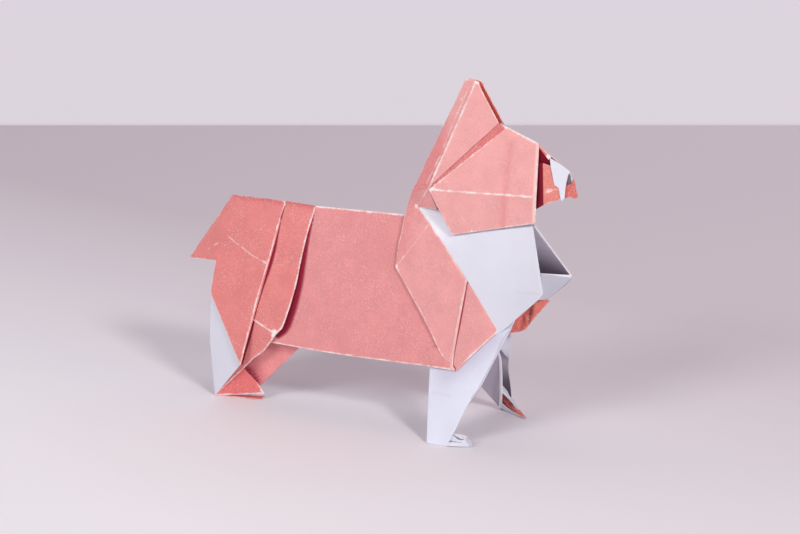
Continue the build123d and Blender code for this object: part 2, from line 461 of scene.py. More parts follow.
    def make(self, material):
        """The piece as one object that rides on the part's body."""
        verts = (np.concatenate(self.verts) + SHIFT) * TO_METRES
        mesh = bpy.data.meshes.new(self.name)
        mesh.from_pydata(verts.tolist(), [], self.faces)
        mesh.validate()
        tint = mesh.attributes.new("tint", "FLOAT_COLOR", "POINT")
        tint.data.foreach_set("color", np.concatenate(self.tints).astype(np.float32).ravel())
        wear = mesh.attributes.new("wear", "FLOAT", "POINT")
        wear.data.foreach_set("value", np.concatenate(self.wears).astype(np.float32))
        gap = mesh.attributes.new("gap", "FLOAT", "POINT")
        gap.data.foreach_set("value", np.concatenate(self.gaps).astype(np.float32))
        mesh.materials.append(material)
        mesh.shade_smooth()
        mesh.set_sharp_from_angle(angle=SHARP)
        piece = bpy.data.objects.new(self.name, mesh)
        bpy.context.scene.collection.objects.link(piece)
        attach(piece, "root")
        return piece


# Sockets of a colour mix node: the factor and both colours, and the result
MIX_INPUTS = (0, 6, 7)
MIX_RESULT = 2


class Nodes:
    """The nodes of one new material."""

    def __init__(self, name):
        self.material = bpy.data.materials.new(name)
        self.material.use_nodes = True
        self.tree = self.material.node_tree
        self.shader = self.tree.nodes["Principled BSDF"]

    def put(self, socket, value):
        """Links a value that is a socket, and sets one that isn't."""
        if hasattr(value, "links"):
            self.tree.links.new(value, socket)
        else:
            socket.default_value = value

    def node(self, kind, **values):
        """A node with its properties and named inputs."""
        made = self.tree.nodes.new(kind)
        for key, value in values.items():
            if hasattr(made, key):
                setattr(made, key, value)
            else:
                self.put(made.inputs[key], value)
        return made

    def compute(self, operation, *values):
        """A sum, a product or the like."""
        made = self.node("ShaderNodeMath", operation=operation)
        for socket, value in zip(made.inputs, values):
            self.put(socket, value)
        return made.outputs[0]

    def ramp(self, value, low, high, to_low=0.0, to_high=1.0):
        """A smooth step between two values."""
        made = self.node("ShaderNodeMapRange", interpolation_type="SMOOTHSTEP")
        names = ("Value", "From Min", "From Max", "To Min", "To Max")
        for name, given in zip(names, (value, low, high, to_low, to_high)):
            self.put(made.inputs[name], given)
        return made.outputs["Result"]

    def mix(self, factor, a, b, blend="MIX"):
        """A mix of two colours."""
        made = self.node("ShaderNodeMix", data_type="RGBA", blend_type=blend)
        for k, value in zip(MIX_INPUTS, (factor, a, b)):
            self.put(made.inputs[k], value)
        return made.outputs[MIX_RESULT]

    def grain(self, scale, detail=2.0, rough=0.5):
        """Noise fixed to the object, its scale per metre."""
        place = self.node("ShaderNodeTexCoord").outputs["Object"]
        made = self.node("ShaderNodeTexNoise", Scale=scale, Detail=detail, Roughness=rough, Vector=place)
        return made.outputs["Fac"]

    def attribute(self, name):
        """The outputs that read one of the mesh's attributes."""
        return self.node("ShaderNodeAttribute", attribute_name=name).outputs


def paper_material():
    """Matte two-coloured paper: fibres, mottling, painted shade beside neighbouring edges, and folds worn
    down to the white core.
    """
    nodes = Nodes("folded_paper")
    fleck = nodes.attribute("tint")["Alpha"]
    colour = mottled(nodes, nodes.attribute("tint")["Color"], fleck)
    colour = painted_gap_shade(nodes, colour, fleck)
    colour, worn = rubbed_off(nodes, colour)
    nodes.put(nodes.shader.inputs["Base Color"], colour)
    finish = {"Roughness": 0.78, "Specular IOR Level": 0.28, "Sheen Weight": 0.08, "Sheen Roughness": 0.5}
    for name, value in finish.items():
        nodes.put(nodes.shader.inputs[name], value)
    sunk = nodes.compute("MULTIPLY", worn, -0.5)
    height = nodes.compute("ADD", nodes.grain(2400.0, detail=4.0, rough=0.6), sunk)
    bump = nodes.node("ShaderNodeBump", Strength=0.35, Distance=0.00004, Height=height)
    nodes.put(nodes.shader.inputs["Normal"], bump.outputs["Normal"])
    return nodes.material


def mottled(nodes, colour, fleck):
    """Broad mottling, then light fibres and dark specks on the printed face."""
    cloud = nodes.ramp(nodes.grain(260.0, detail=3.0), 0.3, 0.7, to_low=-0.05, to_high=0.04)
    cloud = nodes.compute("MULTIPLY_ADD", cloud, nodes.compute("MULTIPLY_ADD", fleck, 0.75, 0.25), 1.0)
    cloud_colour = nodes.node("ShaderNodeCombineColor")
    for socket in cloud_colour.inputs[:3]:
        nodes.put(socket, cloud)
    colour = nodes.mix(1.0, colour, cloud_colour.outputs[0], blend="MULTIPLY")
    fibre = nodes.ramp(nodes.grain(4300.0, rough=0.6), 0.50, 0.72)
    patch = nodes.ramp(nodes.grain(210.0), 0.3, 0.7, to_low=0.25, to_high=0.62)
    fibre = nodes.compute("MULTIPLY", nodes.compute("MULTIPLY", fibre, patch), fleck)
    colour = nodes.mix(fibre, colour, (*FIBRE, 1))
    speck = nodes.ramp(nodes.grain(3600.0, rough=0.6), 0.56, 0.72, to_high=0.30)
    return nodes.mix(nodes.compute("MULTIPLY", speck, fleck), colour, (*SPECK, 1))


def painted_gap_shade(nodes, colour, fleck):
    """Painted shade in the narrow openings beside the edges of neighbouring panels."""
    dark = nodes.ramp(nodes.attribute("gap")["Fac"], GAP_SHADE_CORE, 1.0, to_low=1.0, to_high=0.0)
    shade = nodes.mix(fleck, (*WHITE_GAP_SHADE, 1), (*PRINT_GAP_SHADE, 1))
    return nodes.mix(nodes.compute("MULTIPLY", dark, 0.98), colour, shade)


def rubbed_off(nodes, colour):
    """Worn folds, ragged and broken along their length, and how far each spot is worn."""
    along = nodes.ramp(nodes.grain(700.0, detail=3.0), 0.30, 0.70, to_low=0.04, to_high=0.27)
    ragged = nodes.ramp(nodes.grain(5200.0, rough=0.6), 0.3, 0.7, to_low=-0.09, to_high=0.09)
    edge = nodes.compute("SUBTRACT", nodes.compute("ADD", along, ragged), nodes.attribute("wear")["Fac"])
    rubbed = nodes.compute("MULTIPLY", nodes.ramp(edge, -0.2, 0.0), 0.8)
    colour = nodes.mix(rubbed, colour, (*RUBBED, 1))
    worn = nodes.compute("MULTIPLY", nodes.ramp(edge, 0.0, 0.14), 0.92)
    return nodes.mix(worn, colour, (*WORN, 1)), worn


paper = paper_material()

# Corners on the right side: tail, rump and hind leg
tail_tip = (-45.0, 0, 28.3)
rump_top = (-33.3, 0, 43.0)
pleat_top = (-20.0, 0, 42.7)
strip_top = (-12.7, 0, 42.3)
spine_front = (9.0, 0, 42.3)
pleat_low = (-26.4, -8.9, 8.8)
rump_back = (-35.9, -5.4, 22.4)
tail_notch = (-35.6, -3.6, 29.2)
pleat_valley = (-28.6, -5.9, 19.0)
strip_front = (-19.0, -6.5, 15.7)
strip_back = (-24.9, -6.0, 18.1)
strip_valley = (-22.5, -5.7, 13.6)
heel = (-34.8, -6.5, 0.15)
reverse_top = (-36.2, -4.9, 22.2)
reverse_mid = (-36.6, -5.3, 11.9)
reverse_low = (-26.8, -8.3, 8.6)
foot_top = (-28.0, -5.6, 6.7)
foot_toe = (-23.5, -4.6, 1.6)
foot_side = (-24.9, -4.8, 3.6)
toe_outer = (-24.3, -4.9, 0.15)
toe_inner = (-24.6, -2.5, 0.15)
thigh_up = (-13.3, -3.2, 14.5)
thigh_low = (-25.5, -4.2, 2.4)
thigh_back = (-27.5, -3.9, 14.1)
thigh_hidden = (-30.0, -4.3, 0.3)

# Flank, collar and shoulder
belly_front = (21.9, -5.7, 13.6)
collar_corner = (7.5, -2.6, 32.1)
collar_low = (21.6, -6.1, 14.9)
collar_heel = (20.2, -6.0, 15.55)
collar_top = (11.3, -0.8, 44.5)
collar_base = (8.7, -1.0, 42.3)
slit_top = (23.7, -3.75, 31.1)
shoulder_low = (23.35, -7.3, 13.85)
shoulder_front = (31.2, -5.5, 22.3)

# Chest
chest_back = (12.0, -0.9, 44.45)
chest_top = (36.0, -0.5, 42.7)
chest_corner = (41.3, -7.5, 31.4)
chest_edge = (40.4, -7.4, 30.2)
chest_side = (36.7, -6.4, 26.8)
chest_tip = (31.8, -5.4, 22.2)
flap_tuck_low = (29.7, -5.2, 21.2)
flap_tuck_top = (11.9, -0.8, 43.1)
bib_middle = (37.8, 0, 33.3)
bib_low = (34.4, 0, 27.7)

# Near front leg
leg_top = (16.8, -5.5, 13.2)
leg_back = (19.9, -12.9, 0.15)
leg_hem = (24.0, -12.9, 0.15)
leg_shin = (29.5, -8.6, 12.3)
leg_front = (34.6, -4.6, 25.1)
lining_front = (26.8, -4.5, 15.6)
paw_inner = (24.6, -10.4, 0.15)

# Neck, ear and head
ear_tip = (21.6, 0, 70.2)
neck_back = (9.7, 0, 46.9)
ridge_tip = (23.95, -0.8, 69.8)
ridge_low = (14.8, -2.7, 48.6)
ear_front_tip = (24.4, -0.8, 69.6)
ear_shoulder = (25.0, -0.9, 68.3)
ear_front = (28.8, -1.0, 62.1)
valley_low = (15.7, -2.6, 49.6)
band_low = (16.3, -3.3, 49.3)
band_top = (29.8, -0.1, 60.9)
brow = (28.5, 0, 61.9)
forehead = (36.75, 0, 58.5)
cheek_back = (15.4, -3.5, 48.6)
cheek_front = (37.15, -1.85, 48.6)
jaw_front = (36.85, -1.4, 43.5)
jaw_back = (20.0, -2.35, 39.9)
jaw_corner = (17.2, -3.3, 45.2)
throat = (16.4, -2.3, 44.6)

# Muzzle
muzzle_top = (39.0, 0, 56.5)
muzzle_tip = (43.2, 0, 53.6)

pieces = []

# Tail, rump and pleats
rump = Piece("tail_and_rump")
pleat_line = ((-21.16, -1.15, 38.24), (-22.36, -3.01, 31.18), (-24.02, -5.04, 23.48))
strip_line = (
    (-13.38, -0.59, 39.88), (-14.23, -1.51, 36.11), (-14.94, -2.71, 31.19),
    (-15.39, -3.76, 26.88), (-16.2, -4.82, 22.52), (-17.09, -5.69, 18.98),
)
rump_sides = [
    (rump_top, 0.15),
    (pleat_top, 0.7, *pleat_line),
    (pleat_low, -0.35),
    (rump_back, -0.2),
    (tail_notch, -0.2),
    (tail_tip, 0.1),
]
rump_ridge = (
    (-34.44, -2.0, 34.72), (-31.98, -2.2, 33.49), (-29.73, -2.4, 32.42),
    (-26.59, -2.8, 30.98), (-22.77, -3.4, 29.83),
)
tail_ridge = ((-39.56, -2.8, 31.19), (-38.28, -2.6, 31.89), (-36.8, -2.4, 32.73))
rump_creases = [(rump_ridge, 0.5, 0.05), (tail_ridge, 0.5, 0.04)]
rump_blobs = [((-23.4, -3.4, 30.0), 0.12)]
# Painted shade along the rounded spine
spine_tone = [((rump_top, pleat_top), 0.6, RIDGE_SHADE, 0.8)]
rump.both(rump_sides, ROSE, WHITE, move=left_rump, creases=rump_creases, blobs=rump_blobs, tones=spine_tone)
rump.both(unworn(pleat_top, pleat_low, pleat_valley), ROSE, WHITE, move=left_hind, thick=THIN)
strip_corner = (-17.74, -6.10, 17.03)
strip_sides = [
    (pleat_top, 0),
    (strip_top, 0.7, *strip_line),
    (strip_corner, 0.8),
    (strip_front, 0.8),
    (strip_back, 0),
    (pleat_valley, 0),
]
# Painted shade under the pleat's edge, widest part way down
pleat_gap_line = (
    (-20.0, -0.3, 41.8), (-21.0, -1.15, 38.3), (-22.15, -3.0, 31.1),
    (-23.8, -5.04, 23.4), (-24.75, -5.95, 18.2),
)
pleat_gap_shade = [(pleat_gap_line, (0.2, 0.45, 0.8, 1.05, 1.1, 0.85, 0.6, 0.45, 0.45), 1)]
strip_blobs = [((-19.3, -6.45, 15.9), 0.55), ((-21.6, -6.3, 16.2), 0.1), ((-22.4, -6.2, 16.8), 0.08)]
# Painted shade along the strip's rounded top
strip_tone = [([pleat_top, strip_top], 0.6, RIDGE_SHADE, 0.7)]
rump.both(
    strip_sides, ROSE, WHITE, move=left_hind, blobs=strip_blobs, gaps=pleat_gap_shade, tones=strip_tone, step=0.3,
)
rump.both(unworn(strip_top, strip_front, strip_valley), ROSE, WHITE, move=left_hind, thick=THIN)
pieces.append(rump)

# Hind legs
hind = Piece("hind_legs")
shin_sides = [
    (strip_back, 0.8),
    (strip_front, 0.7, (-21.95, -6.55, 11.87), (-24.8, -6.5, 9.63), (-27.76, -6.49, 6.76)),
    (heel, 0),
    ((-30.6, -6.3, 7.6), 0),
    ((-28.6, -5.8, 18.6), 0),
]
# Painted shade down the shin
shin_gap_line = ((-24.5, -6.1, 18.4), (-25.1, -6.3, 16.2), (-26.6, -6.3, 11.6), (-27.7, -6.3, 8.2))
shin_gap_shade = [(shin_gap_line, (0.45, 0.6, 0.5), 1)]
shin_blobs = [((-19.3, -6.45, 15.5), 0.5)]
hind.both(shin_sides, ROSE, WHITE, move=left_hind, gaps=shin_gap_shade, blobs=shin_blobs, step=0.3)
hind_reverse = unworn(reverse_top, reverse_low, heel, reverse_mid)
hind.both(hind_reverse, WHITE, WHITE, move=left_hind, thick=THIN, fleck=0.0)
foot_sides = [(heel, 0.8), (foot_toe, 0.5), (foot_side, 0), (foot_top, 0)]
foot_crease = [([(-27.0, -5.3, 5.6), (-25.4, -5.0, 1.2)], 0, 0.08)]
hind.both(foot_sides, FOOT, FOOT, move=left_hind, creases=foot_crease)
sole_sides = [(heel, 0.5), (toe_outer, 0.8), (toe_inner, 0.3)]
hind.both(sole_sides, FOOT, FOOT, move=left_hind, out=DOWN, thick=THIN)
thigh_sides = unworn(thigh_back, thigh_up, thigh_low, thigh_hidden)
# Painted shade where the thigh meets the foot
thigh_tone = [
    ([(-27.6, -4.3, 7.4), (-25.4, -4.2, 4.6)], 2.0, THIGH_SHADE, 0.4),
    ([(-28.2, -4.3, 6.5), (-26.7, -4.2, 5.4), (-25.5, -4.2, 4.1)], 0.9, THIGH_SHADE, 0.95),
]
hind.both(thigh_sides, THIGH, WHITE, move=left_hind, tones=thigh_tone)
pieces.append(hind)

# Flanks, collar and shoulders
body = Piece("flanks_and_collar")
# Painted shade under the strip's edge, widening towards the leg
strip_gap_line = (strip_top, *strip_line, strip_corner, strip_front)
strip_gap_shade = [(strip_gap_line, (0.25, 0.8, 1.15, 1.45, 1.65, 1.85, 1.95, 1.85, 1.3), 1)]
flank_sides = [
    (strip_top, 0.95),
    (spine_front, 0),
    (belly_front, 0.75, (-2.5, -5.72, 13.2)),
    (strip_valley, 0),
]
body.both(flank_sides, PINK, WHITE, move=left_flank, wave=0.1, gaps=strip_gap_shade)
collar_sides = [
    (neck_back, 0.1),
    (collar_base, 0.3, (8.26, -1.51, 39.11), (7.79, -1.95, 36.48)),
    (collar_corner, 0.7, (11.92, -3.73, 26.6), (15.83, -4.76, 21.55), (18.86, -5.66, 17.02)),
    (collar_heel, 0.5),
    (collar_low, 0.95),
    (slit_top, 0.3, (18.6, -2.37, 36.74)),
    (collar_top, 0.5),
    (ridge_low, 0),
]
collar_crease = ((7.9, -2.5, 32.7), (10.8, -2.1, 36.4), (12.5, -1.8, 38.7), (14.1, -1.5, 41.1))
collar_creases = [(collar_crease, 0.35, 0.06)]
# Painted shade, darker and redder along the collar's back edge
collar_tone = [([neck_back, (8.26, -1.51, 39.11), (7.79, -1.95, 36.48)], 3.0, PINK, 0.9)]
collar_blobs = [(collar_corner, 0.35), ((7.9, -2.75, 31.3), 0.2), (collar_top, 0.25)]
body.both(collar_sides, COLLAR, WHITE, creases=collar_creases, blobs=collar_blobs, tones=collar_tone)
collar_lining = unworn(collar_corner, collar_heel, (23.4, -5.0, 16.0), (11.5, -2.3, 32.0))
body.both(collar_lining, PINK, WHITE, thick=THIN)
hem_line = ((22.55, -4.95, 23.84), (21.9, -5.75, 18.04), (21.4, -6.15, 14.8))
hem_sides = [
    (slit_top, 0.3, *hem_line),
    ((22.1, -7.0, 14.1), 0.5),
    ((22.8, -7.25, 13.7), 0.3),
    ((22.95, -7.2, 13.95), 0.3, (22.2, -6.6, 14.7), (22.25, -5.85, 18.0), (22.85, -5.0, 23.84)),
]
body.both(hem_sides, SLIT_HEM, WHITE, thick=0.3, step=0.25, fleck=0.4)
# Painted shade in the slit beside the hem
slit_gap_line = (
    (23.85, -3.75, 31.0), (23.05, -4.9, 23.25), (22.35, -5.75, 17.43),
    (22.3, -6.2, 14.8), (23.1, -7.2, 14.0),
)
slit_gap_shade = [(slit_gap_line, (0.34, 0.34), 0.8)]
shoulder_sides = [
    ((22.6, -3.5, 31.2), 0),
    (slit_top, 0),
    (shoulder_front, 0.85),
    ((25.1, -6.9, 15.95), 0.4),
    (shoulder_low, 0.2),
    ((21.7, -6.5, 14.1), 0),
]
body.both(shoulder_sides, COLLAR, WHITE, lift=-0.1, step=0.22, gaps=slit_gap_shade)
belly_sides = [
    ((13.5, -5.7, 13.45), 0.75),
    ((22.35, -7.05, 13.8), 0),
    ((21.9, -5.95, 15.3), 0),
    ((18.3, -5.25, 17.4), 0),
    ((14.5, -5.2, 16.2), 0),
]
body.both(belly_sides, PINK, WHITE, thick=0.24)
pieces.append(body)

# Chest flaps and bib
chest = Piece("chest")
flap_sides = unworn(
    chest_back, chest_top, chest_corner, chest_edge, chest_side, chest_tip, flap_tuck_low, flap_tuck_top,
)
flap_crease = ((35.0, -4.6, 30.3), (41.0, -7.4, 31.2))
# Painted shade along the flap's crease and on its inner face, and painted light beside the cheek, where the
# cheek shades the flap
flap_tones = [(flap_crease, 0.2, LILAC, 0.2), (((12.5, -0.9, 43.8), (16.5, -1.4, 40.0)), 3.0, PALE, 0.95)]
chest.both(flap_sides, WHITE, DUSK, creases=[(flap_crease, 0, 0.05)], tones=flap_tones, fleck=0.0)
# Thin white strips as painted highlights along the edges of the far flap and the bib
flap_rim = unworn((36.18, 0.25, 42.67), (41.3, 7.2, 31.9), (40.95, 7.2, 31.9), (35.9, 0.25, 42.4))
bib_rim = unworn((37.6, 0, 33.35), (41.2, 7.2, 31.95), (41.2, 7.2, 31.65), (37.6, 0, 33.05))
for rim in (flap_rim, bib_rim):
    chest.panel(rim, RIM_WHITE, WHITE, thick=0.2, step=0.3, fleck=0.0)
# Painted shade inside the left flap, darkest deep in
liner_sides = unworn((35.9, 0.3, 42.5), (41.1, 7.3, 31.6), (34.0, 3.4, 30.0), (33.0, 0.7, 36.5))
liner_tone = [([(36.5, 2.0, 33.0), (40.8, 7.0, 31.6)], 4.0, DIM, 0.95)]
chest.panel(liner_sides, DUSK, WHITE, thick=THIN, fleck=0.0, lift=0.1, tones=liner_tone)
bib_sides = unworn(chest_corner, bib_middle, bib_low, chest_side)
chest.both(bib_sides, BIB, WHITE, out=(1, 0, 0.2), thick=THIN, fleck=0.0)

# The pink layer tucked under the left flap, with its pocket
tuck_sides = [
    ((35.16, 5.5, 26.89), 0),
    ((37.35, 5.9, 26.63), 0.5),
    ((33.65, 5.2, 21.91), 0.3),
    ((32.82, 5.0, 20.64), 0.2),
    ((31.49, 4.8, 19.92), 0.2),
    ((29.43, 4.4, 19.51), 0),
    ((30.94, 4.1, 22.73), 0),
    ((33.98, 4.6, 25.83), 0),
]
# Painted shade in the pocket and along its folds, and broadly darker towards the back
pocket = [
    ([(34.05, 4.6, 25.7), (33.85, 4.6, 23.8)], 0.5, POCKET_SHADE, 0.95),
    ([(33.85, 4.6, 23.8), (33.5, 4.8, 22.0)], 0.32, POCKET_SHADE, 0.8),
    ([(32.2, 4.5, 23.4), (32.6, 4.6, 22.6), (32.8, 4.8, 21.4)], 0.28, POCKET_SHADE, 0.5),
    ([(31.3, 4.5, 22.2), (30.8, 4.6, 20.2)], 1.5, RED, 0.6),
]
fan = [([(32.6, 4.5, 24.6), (31.6, 4.8, 20.8)], 0, 0.25), ([(33.5, 4.6, 24.8), (32.4, 4.9, 20.9)], 0, -0.2)]
chest.panel(tuck_sides, TUCK, RED, thick=THIN, step=0.2, tones=pocket, creases=fan, wave=0.2)
pieces.append(chest)

# Front legs
front = Piece("front_legs")
shin_line = (
    (28.35, -9.5, 10.1), (27.03, -10.3, 8.0), (25.78, -12.0, 4.15),
    (25.3, -12.4, 3.0), (24.6, -12.8, 1.4),
)
leg_sides = [
    (leg_back, 0, (18.45, -9.6, 5.82)),
    (leg_top, 0),
    (leg_front, 0),
    (leg_shin, 0, *shin_line),
    (leg_hem, 0),
]
leg_creases = [
    ([(31.1, -4.0, 21.8), (26.3, -9.4, 9.4)], 0, 0.06),
    ([(18.3, -8.0, 8.9), (26.3, -9.4, 9.4)], 0, 0.04),
]
# Painted shade under the shoulder's edge and along a faint crease
leg_tone = [
    ([(21.0, -6.1, 12.8), (25.6, -6.0, 16.0), (30.5, -4.6, 20.5)], 3.0, LILAC, 0.7),
    ([(18.54, -8.50, 9.05), (23.08, -9.20, 9.12)], 0.2, LILAC, 0.22),
]
front.panel(leg_sides, LEG_WHITE, SHADED, creases=leg_creases, tones=leg_tone, fleck=0.0)
band_sides = [
    ((32.6, -5.95, 20.9), 0, (30.9, -7.1, 16.4), (29.4, -8.05, 12.82), (28.5, -8.9, 10.43)),
    ((27.2, -9.95, 8.4), 0),
    ((28.3, -9.6, 10.1), 0, (29.4, -8.7, 12.3)),
    ((34.1, -5.15, 23.5), 0),
]
front.panel(band_sides, LEG_BAND, SHADED, fleck=0.0, thick=0.34, step=0.3)
far_leg_sides = [
    ((23.4, 14.4, 0.15), 0),
    (mirrored(leg_top), 0),
    ((30.0, 3.5, 21.5), 0),
    ((28.4, 6.6, 18.3), 0),
    ((27.4, 8.8, 13.2), 0, (26.6, 10.4, 9.8), (26.2, 12.6, 5.3)),
    ((25.9, 14.3, 0.15), 0),
]
# Painted shade, darkest low on the far leg and lighter near its top
far_leg_tones = [
    ([(26.0, 12.5, 4.0), (26.3, 11.5, 6.0)], 4.0, DIM, 0.95),
    ([(28.0, 7.0, 17.0), (27.0, 5.0, 20.0)], 2.5, GREY, 0.7),
]
front.panel(far_leg_sides, DUSK, LEG_WHITE, fleck=0.0, tones=far_leg_tones)
near_lining = unworn(leg_back, leg_top, lining_front)
front.panel(near_lining, LEG_WHITE, GREY, fleck=0.0, thick=THIN, lift=-0.3)
far_lining = [
    ((23.4, 14.2, 0.15), 0),
    ((16.8, 5.2, 13.2), 0),
    ((26.8, 4.5, 15.5), 0, (25.7, 8.0, 10.3), (24.6, 11.3, 5.4)),
]
front.panel(far_lining, SHADED, WHITE, fleck=0.0, thick=0.3)
# A thin white strip as a painted highlight along the far leg's edge
lining_rim = [
    ((26.95, 4.4, 15.55), 0, (26.73, 5.7, 13.6), (25.92, 8.1, 9.63), (25.07, 10.2, 5.67)),
    ((23.49, 13.5, 0.2), 0),
    ((23.9, 13.5, 0.2), 0, (25.4, 10.2, 5.67), (26.25, 8.1, 9.63), (27.0, 5.7, 13.6)),
]
front.panel(lining_rim, RIM_WHITE, WHITE, fleck=0.0, thick=0.3, step=0.25)
sliver = unworn(
    (27.9, 6.1, 19.2), (28.8, 6.4, 19.2), (28.0, 8.0, 13.95),
    (27.63, 8.6, 12.87), (27.06, 7.6, 13.97), (26.75, 6.2, 15.42),
)
front.panel(sliver, WHITE, WHITE, fleck=0.0, thick=THIN, step=0.3)

# The near paw, crumpled
paw_top, paw_ridge, paw_tip = (25.1, -12.1, 2.6), (26.9, -11.5, 2.4), (28.85, -10.6, 0.35)
paw_sides = unworn(
    (23.95, -12.95, 0.2), paw_top, paw_ridge, (27.9, -11.2, 2.0), (28.5, -10.8, 0.8), paw_tip,
    (28.4, -11.0, 0.15), (26.6, -12.0, 0.2),
)
paw_creases = [
    ([(25.3, -12.1, 2.3), (26.6, -11.8, 1.5), (27.2, -11.5, 1.6), (26.8, -11.6, 2.2)], 0, 0.25),
    ([(24.4, -12.7, 1.0), (25.6, -12.3, 1.0), (27.2, -11.7, 0.7)], 0, 0.25),
]
# Painted shade in the folds of the crumpled paw
paw_gaps = [
    ([(25.1, -12.3, 2.3), (26.5, -11.9, 1.55), (27.1, -11.6, 1.55)], (0.15, 0.3, 0.2), 0.9),
    ([(24.3, -12.8, 1.1), (25.6, -12.4, 1.0), (26.9, -11.8, 0.8)], (0.3, 0.2, 0.12), 0.8),
    ([(28.2, -11.0, 1.6), (28.9, -10.6, 0.2)], (0.9, 0.9), 0.4),
]
front.panel(
    paw_sides, WHITE, WHITE, fleck=0.0, thick=THIN, step=0.22, creases=paw_creases, gaps=paw_gaps, wave=0.7,
)
paw_sole = unworn((24.0, -12.9, 0.2), (26.5, -11.9, 0.2), (28.8, -10.7, 0.2), (24.6, -10.4, 0.2))
front.panel(paw_sole, RED, RED, out=DOWN, thick=0.14, step=0.3)
paw_lining = unworn(paw_inner, paw_top, paw_ridge, paw_tip)
front.panel(paw_lining, WHITE, RED, out=LEFT, fleck=0.0, thick=THIN, step=0.3)

# The far paw, gaping at the toe
toe_flap = unworn(
    (25.07, 11.3, 5.9), (25.99, 11.6, 4.8), (26.5, 11.8, 3.6), (27.4, 12.0, 3.05), (28.1, 12.0, 1.9),
    (29.6, 11.4, 0.8), (31.2, 9.9, 0.3), (29.1, 11.4, 0.85), (27.8, 11.9, 1.5), (27.1, 11.9, 2.45),
    (26.45, 11.8, 3.1), (25.7, 11.5, 3.9), (25.0, 11.3, 4.5),
)
toe_creases = [([(25.3, 11.3, 5.0), (26.4, 11.8, 3.4), (27.6, 12.0, 2.2)], 0, 0.25)]
front.panel(toe_flap, WHITE, WHITE, fleck=0.0, thick=THIN, step=0.2, wave=0.3, creases=toe_creases)
toe_red = unworn(
    (24.84, 11.7, 3.7), (25.73, 11.9, 4.0), (26.89, 12.2, 2.9), (27.91, 12.3, 1.6), (31.0, 9.9, 0.25),
    (30.2, 10.0, 0.2), (27.7, 11.5, 0.35), (25.6, 12.6, 0.95), (24.3, 12.6, 1.8),
)
# Painted shade inside the gaping toe
toe_tone = [
    ([(24.6, 12.0, 3.6), (24.6, 12.5, 1.9)], 1.1, POCKET_SHADE, 0.95),
    ([(25.4, 12.0, 3.2), (26.8, 11.8, 1.9)], 0.7, POCKET_SHADE, 0.75),
    ([(24.6, 12.5, 1.8), (25.9, 12.4, 1.0), (27.8, 11.5, 0.5)], 0.5, POCKET_SHADE, 0.7),
]
front.panel(toe_red, TUCK, RED, thick=THIN, step=0.22, tones=toe_tone, wave=0.3)
toe_rim = unworn(
    (24.3, 12.2, 2.0), (25.7, 12.2, 1.05), (27.7, 11.4, 0.5), (30.4, 9.9, 0.3), (31.2, 9.7, 0.15),
    (29.4, 10.4, 0.15), (26.6, 11.9, 0.15), (24.9, 12.8, 0.25), (24.0, 13.0, 0.85),
)
front.panel(toe_rim, WHITE, WHITE, fleck=0.0, thick=THIN, step=0.25)
pieces.append(front)

# Head
head = Piece("head")
ear_crease = (
    (22.1, -0.9, 68.6), (21.13, -1.2, 66.48), (18.85, -1.6, 61.34),
    (16.79, -2.0, 55.57), (14.0, -2.0, 49.5),
)
ear_back_sides = [(ear_tip, 0.5), (ridge_tip, 0.8), (ridge_low, 0), (neck_back, 0.2)]
ear_back_tone = [([ear_tip, (19.0, -0.8, 63.0)], 4.0, LIGHT, 0.9)]
ear_back_blobs = [(ridge_tip, 0.35), (ear_tip, 0.2), ((20.6, -1.2, 66.4), 0.15)]
head.both(
    ear_back_sides, EAR_BACK, ROSE, creases=[(ear_crease, 0.6, 0.07)], tones=ear_back_tone,
    blobs=ear_back_blobs,
)
ear_sides = [(ridge_tip, 0.8), (ridge_low, 0), (ear_front, 0.3), (ear_shoulder, 0.4), (ear_front_tip, 0.9)]
head.both(ear_sides, LIGHT, RED, blobs=[(ridge_tip, 0.35)])
band_sides = [(valley_low, 0), (ear_front, 0), (band_top, 0.5), (band_low, 0)]
# Painted shade in the valley between the ear and the band
head.both(band_sides, BAND, WHITE, gaps=[((valley_low, ear_front), (0.35, 0.35), 0.55)])

# Cheek above and jaw below, with the pale strip along their front edge
cheek_sides = [
    (brow, 1.0),
    (forehead, 0.6),
    (cheek_front, 0.85),
    (cheek_back, 0.2),
    (band_low, 0.8),
    (band_top, 0.6),
]
cheek_creases = [
    ([(31.2, 0, 58.5), (30.8, -2.3, 43.0)], 0, 0.12),
    ([(33.0, 0, 58.5), (32.6, -2.3, 49.0)], 0, -0.1),
]
# Painted shade along the creases down the cheek and the jaw
cheek_tone = [([(31.2, 0, 58.0), (30.9, -2.3, 49.0)], 0.7, PINK, 0.7)]
jaw_tone = [([(30.8, -2.3, 48.0), (30.4, -2.3, 42.0)], 0.8, PINK, 0.8)]
cheek_blobs = [
    (cheek_back, 0.6),
    ((18.88, -2.70, 50.26), 0.12),
    (brow, 0.5),
    ((32.6, 0, 60.3), 0.3),
    ((32.06, -2.10, 48.47), 0.12),
    ((36.77, -1.90, 48.63), 0.2),
]
jaw_sides = [(cheek_back, 0.85), (cheek_front, 0.6), (jaw_front, 0.6), (jaw_back, 0.35), (jaw_corner, 0.3)]
jaw_creases = [
    ([(21.05, -3.0, 44.6), (24.07, -2.7, 41.2)], 0.3, 0.05),
    ([(30.8, -2.3, 49.0), (30.4, -2.3, 41.6)], 0, 0.1),
]
jaw_blobs = [(cheek_back, 0.45)]
front_strip = [
    (forehead, 0.5),
    (cheek_front, 0.5),
    (jaw_front, 0.5),
    ((36.45, -1.45, 43.45), 0),
    ((36.75, -1.9, 48.6), 0),
    ((36.35, 0, 58.7), 0),
]
cheek_looks = {"creases": cheek_creases, "blobs": cheek_blobs, "tones": cheek_tone}
jaw_looks = {"creases": jaw_creases, "blobs": jaw_blobs, "tones": jaw_tone}
